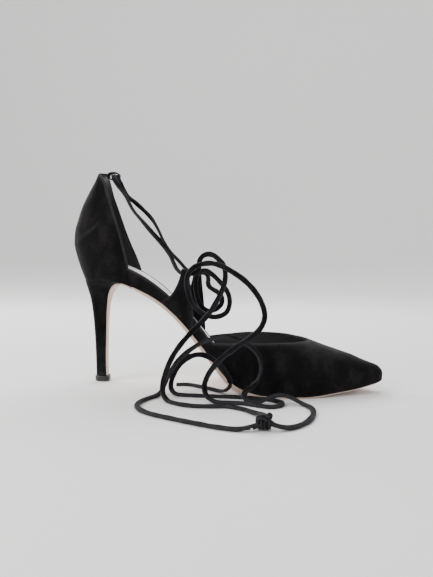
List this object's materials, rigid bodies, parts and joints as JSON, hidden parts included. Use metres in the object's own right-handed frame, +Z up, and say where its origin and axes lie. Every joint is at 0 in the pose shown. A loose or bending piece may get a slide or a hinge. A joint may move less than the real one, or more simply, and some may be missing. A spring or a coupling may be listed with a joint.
{
  "type": "lace-up stiletto pump",
  "caption": "Pointed suede pump with a tall counter, closed vamp, bare waist and slender high heel, tied round the ankle by a long lace through side tabs.",
  "frame": {"origin": "floor level, below the centre of the shoe's box with the loose lace left out", "axes": "+X from heel to toe, +Y to the lateral side of the foot (left of the walking direction), +Z up"},
  "size_m": [0.2386, 0.1501, 0.1664],
  "materials": {
    "suede": "matte suede with a short nap",
    "heel_cover": "matte suede drawn tight over the heel",
    "tab": "matte suede, folded",
    "lace": "matte suede, folded to a narrow band",
    "insole": "smooth pale lining leather",
    "outsole": "smooth sole leather, nude",
    "top_lift": "dense black heel rubber"
  },
  "bodies": {
    "root": {"upper": "suede", "insole": "insole", "outsole": "outsole", "heel": "heel_cover", "top_lift": "top_lift", "medial_tab": "tab", "lateral_tab": "tab", "lace_keeper": "tab", "lace_knot": "lace", "lace_heel": "lace", "lace_medial": "lace", "lace_lateral": "lace", "lace_end": "lace", "lace_tail": "lace"}
  },
  "joints": []
}
